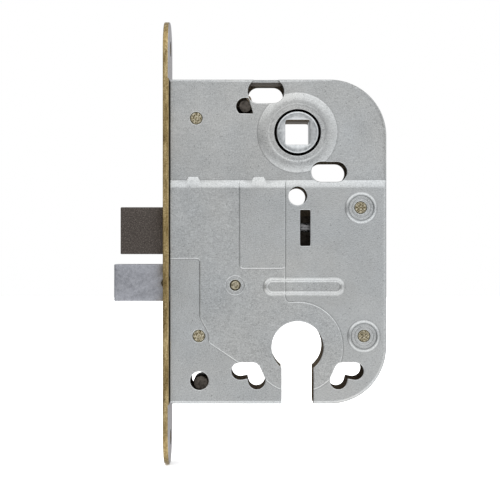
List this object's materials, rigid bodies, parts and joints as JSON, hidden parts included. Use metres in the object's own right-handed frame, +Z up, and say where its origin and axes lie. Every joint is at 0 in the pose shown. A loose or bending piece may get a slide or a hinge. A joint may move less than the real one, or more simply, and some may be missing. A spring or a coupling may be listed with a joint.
{
  "type": "mortise lock",
  "caption": "Mortise lock case with a rounded forend, spring latch, thrown deadbolt, spindle hub and open profile-cylinder cut-out.",
  "frame": {"origin": "outer face of the forend, middle of its width, level with the spindle axis", "axes": "+X into the door from the forend, +Z up, -Y towards the stamped side of the case"},
  "size_m": [0.0915, 0.022, 0.15],
  "materials": {
    "zinc_sheet": "satin zinc-plated sheet",
    "brass_forend": "dull brass finish",
    "sintered_steel": "dark sintered, fine grain",
    "cast_zinc": "mottled satin zinc",
    "hub_steel": "satin zinc-plated",
    "turned_steel": "yellow-passivated staked ends",
    "spring_steel": "oiled spring wire",
    "dark_steel": "dark phosphated"
  },
  "bodies": {
    "case": {"case_body": "zinc_sheet", "back_cover": "zinc_sheet", "forend": "brass_forend", "forend_bracket_top": "dark_steel", "forend_bracket_bottom": "dark_steel", "case_screw_top": "turned_steel", "case_screw_bottom": "turned_steel", "post_front_top": "turned_steel", "post_front_bottom": "turned_steel", "post_rear_top": "turned_steel", "post_rear_bottom": "turned_steel", "bolt_guide_pin": "turned_steel", "stop_peg": "dark_steel", "bottom_spacer": "dark_steel", "latch_spring": "spring_steel", "latch_spring_stop": "turned_steel", "hub_spring": "spring_steel", "detent_spring": "spring_steel", "detent_block": "dark_steel"},
    "hub": {"hub": "hub_steel"},
    "latch": {"latch_head": "sintered_steel", "latch_tail": "dark_steel", "latch_rivet": "turned_steel"},
    "deadbolt": {"deadbolt_head": "cast_zinc", "deadbolt_tail": "dark_steel", "deadbolt_rivet": "turned_steel"}
  },
  "joints": [
    {"name": "hub_turn", "type": "hinge", "parent": "case", "child": "hub", "pos_m": [0.045, 0, 0], "axis": [0, -1, 0], "range_deg": [0, 45], "stiffness_Nm_per_rad": 0.02, "deforming": ["hub_spring"]},
    {"name": "latch_slide", "type": "slide", "parent": "case", "child": "latch", "axis": [1, 0, 0], "range_m": [0, 0.014], "deforming": ["latch_spring"]},
    {"name": "deadbolt_slide", "type": "slide", "parent": "case", "child": "deadbolt", "axis": [1, 0, 0], "range_m": [0, 0.0165]}
  ],
  "couplings": [
    {"joint": "latch_slide", "follows": "hub_turn", "m_per_rad": 0.017825}
  ]
}
